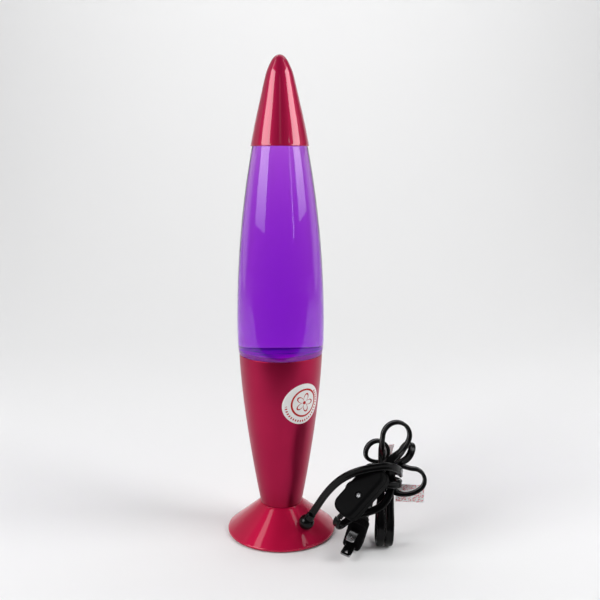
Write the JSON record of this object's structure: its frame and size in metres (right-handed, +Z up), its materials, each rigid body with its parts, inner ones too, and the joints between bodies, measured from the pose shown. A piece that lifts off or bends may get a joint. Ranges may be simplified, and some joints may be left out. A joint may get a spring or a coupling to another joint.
{
  "type": "liquid motion lamp",
  "caption": "Liquid motion lamp: cone foot, flared metal cup, tapered purple glass bottle, pointed metal cover, and a black cord tied in a hank with a thumb wheel switch and a two-blade plug",
  "frame": {"origin": "on the table, under the axis of the lamp, at the bottom centre of the lamp without its cord", "axes": "+Z up along the lamp's axis, -Y toward the viewer of the picture, +X toward the side where the cord lies"},
  "size_m": [0.1552, 0.1043, 0.368],
  "materials": {
    "red_metal": "glossy metallic magenta red",
    "cup_metal": "satin metallic magenta red",
    "steel": "plain",
    "brass": "polished",
    "felt": "matte felt",
    "porcelain": "glazed",
    "bulb_glass": "frosted and silvered",
    "insulator": "matte",
    "globe_glass": "clear, glossy",
    "liquid": "clear purple liquid",
    "wax": "satin wax",
    "label": "satin",
    "tag": "matte",
    "black_plastic": "semi-gloss",
    "cord": "semi-gloss"
  },
  "bodies": {
    "base": {"foot": "red_metal", "felt_pad": "felt", "bottom_plate": "steel", "base_cup": "cup_metal", "threaded_nipple": "steel", "lock_washer": "steel", "lower_nut": "steel", "upper_nut": "steel", "socket_cap": "steel", "lamp_socket": "porcelain", "socket_sleeve": "brass", "socket_contact": "brass", "round_label": "label", "cord_grommet": "black_plastic", "cord_sleeve": "black_plastic", "inner_lead": "cord", "switch_front": "black_plastic", "switch_rear": "black_plastic", "switch_screw": "steel", "switch_wheel_pin": "steel", "plug_blade_narrow": "steel", "plug_blade_wide": "steel", "plug_body": "black_plastic", "cord_lead": "cord", "cord_hank_lamp_side": "cord", "cord_hank_plug_side": "cord", "cord_tail": "cord", "tag_small": "tag", "tag_large": "tag"},
    "bottle": {"globe": "globe_glass", "wax": "wax", "liquid": "liquid", "wax_coil": "steel", "crown_cap": "steel"},
    "cover": {"pointed_cover": "red_metal"},
    "bulb": {"bulb_glass": "bulb_glass", "bulb_shell": "brass", "bulb_insulator": "insulator", "bulb_contact": "steel"},
    "thumb_wheel": {"switch_wheel": "black_plastic"}
  },
  "joints": [
    {"name": "bottle_lift", "type": "slide", "parent": "base", "child": "bottle", "axis": [0, 0, 1], "range_m": [0, 0.06]},
    {"name": "cover_lift", "type": "slide", "parent": "bottle", "child": "cover", "axis": [0, 0, 1], "range_m": [0, 0.05]},
    {"name": "bulb_turn", "type": "hinge", "parent": "base", "child": "bulb", "pos_m": [0, 0, 0.05], "axis": [0, 0, 1], "range_deg": [0, 1080]},
    {"name": "switch_turn", "type": "hinge", "parent": "base", "child": "thumb_wheel", "pos_m": [0.05452, -0.04254, 0.05163], "axis": [-0.4435, -0.6614, 0.6048], "continuous": true}
  ]
}
